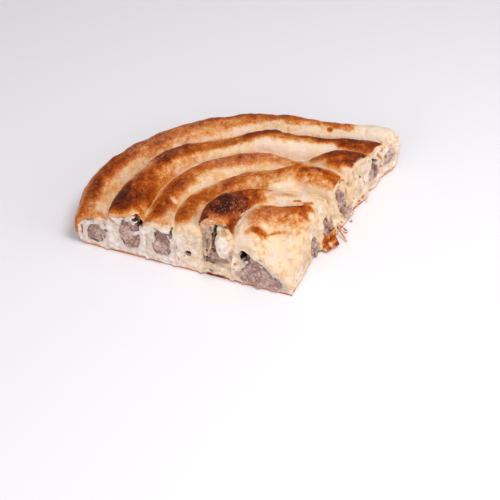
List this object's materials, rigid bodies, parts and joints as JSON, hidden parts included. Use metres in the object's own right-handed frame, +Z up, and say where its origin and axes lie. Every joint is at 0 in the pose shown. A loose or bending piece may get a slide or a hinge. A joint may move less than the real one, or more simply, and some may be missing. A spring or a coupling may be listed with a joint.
{
  "type": "meat borek wedge",
  "caption": "Wedge cut from a round coiled borek: browned pastry turns side by side, minced meat filling showing at both cuts, flat foot to rest on.",
  "frame": {"origin": "centre of the bounding box at the surface that the wedge rests on", "axes": "+X to the right along the wedge's longest side, +Y from the tip towards the outer rim, +Z up"},
  "size_m": [0.236, 0.1623, 0.0464],
  "materials": {
    "crust": "baked pastry, golden brown with pale cream grooves, slightly shiny from fat",
    "meat": "cooked minced meat, crumbly and matt"
  },
  "bodies": {
    "root": {"pastry_turn_1": "crust", "pastry_turn_2": "crust", "pastry_turn_3": "crust", "pastry_turn_4": "crust", "pastry_turn_5": "crust", "pastry_turn_6": "crust", "meat_strand_1": "meat", "meat_strand_2": "meat", "meat_strand_3": "meat", "meat_strand_4": "meat", "meat_strand_5": "meat", "meat_strand_6": "meat"}
  },
  "joints": []
}
